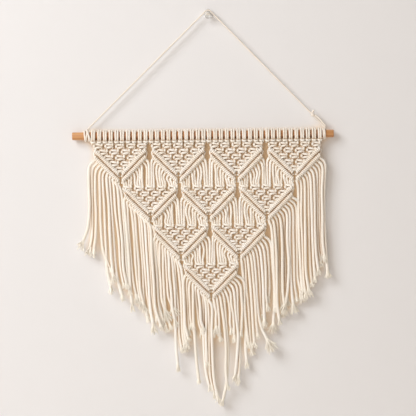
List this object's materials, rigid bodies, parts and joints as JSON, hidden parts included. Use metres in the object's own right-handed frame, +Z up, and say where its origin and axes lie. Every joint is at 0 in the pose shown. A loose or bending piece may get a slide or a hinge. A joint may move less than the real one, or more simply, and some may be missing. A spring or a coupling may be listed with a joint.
{
  "type": "macrame wall hanging with wooden dowel, hanger cord and wall pin",
  "caption": "Cream cotton macrame of knotted triangles between diagonal bands with a pointed fringe, on a wooden dowel hung by a cord from a wall pin.",
  "frame": {"origin": "the middle of the face where the wall pin's shank meets the wall", "axes": "+Z up, +Y into the wall, the hanging faces -Y, +X to the viewer's right"},
  "size_m": [0.406, 0.0203, 0.6043],
  "materials": {
    "cotton_string": "soft twisted natural cotton string, matt",
    "hanger_cotton": "thin twisted natural cotton cord, matt",
    "wood": "smooth bare dowel, satin",
    "pin_plastic": "translucent white moulded plastic"
  },
  "bodies": {
    "root": {"dowel": "wood", "wall_pin": "pin_plastic", "hanger_cord": "hanger_cotton", "tie_left": "hanger_cotton", "tie_right": "hanger_cotton", "heading_1": "cotton_string", "heading_2": "cotton_string", "heading_3": "cotton_string", "heading_4": "cotton_string", "net_1_1": "cotton_string", "hitch_left_1_1": "cotton_string", "hitch_right_1_1": "cotton_string", "net_1_2": "cotton_string", "hitch_left_1_2": "cotton_string", "hitch_right_1_2": "cotton_string", "net_1_3": "cotton_string", "hitch_left_1_3": "cotton_string", "hitch_right_1_3": "cotton_string", "net_1_4": "cotton_string", "hitch_left_1_4": "cotton_string", "hitch_right_1_4": "cotton_string", "loose_1_1": "cotton_string", "loose_1_2": "cotton_string", "loose_1_3": "cotton_string", "fringe_left_1": "cotton_string", "fringe_right_1": "cotton_string", "net_2_1": "cotton_string", "hitch_left_2_1": "cotton_string", "hitch_right_2_1": "cotton_string", "net_2_2": "cotton_string", "hitch_left_2_2": "cotton_string", "hitch_right_2_2": "cotton_string", "net_2_3": "cotton_string", "hitch_left_2_3": "cotton_string", "hitch_right_2_3": "cotton_string", "loose_2_1": "cotton_string", "loose_2_2": "cotton_string", "fringe_left_2": "cotton_string", "fringe_right_2": "cotton_string", "net_3_1": "cotton_string", "hitch_left_3_1": "cotton_string", "hitch_right_3_1": "cotton_string", "net_3_2": "cotton_string", "hitch_left_3_2": "cotton_string", "hitch_right_3_2": "cotton_string", "loose_3_1": "cotton_string", "fringe_left_3": "cotton_string", "fringe_right_3": "cotton_string", "net_4_1": "cotton_string", "hitch_left_4_1": "cotton_string", "hitch_right_4_1": "cotton_string", "fringe_left_4": "cotton_string", "fringe_right_4": "cotton_string"}
  },
  "joints": []
}
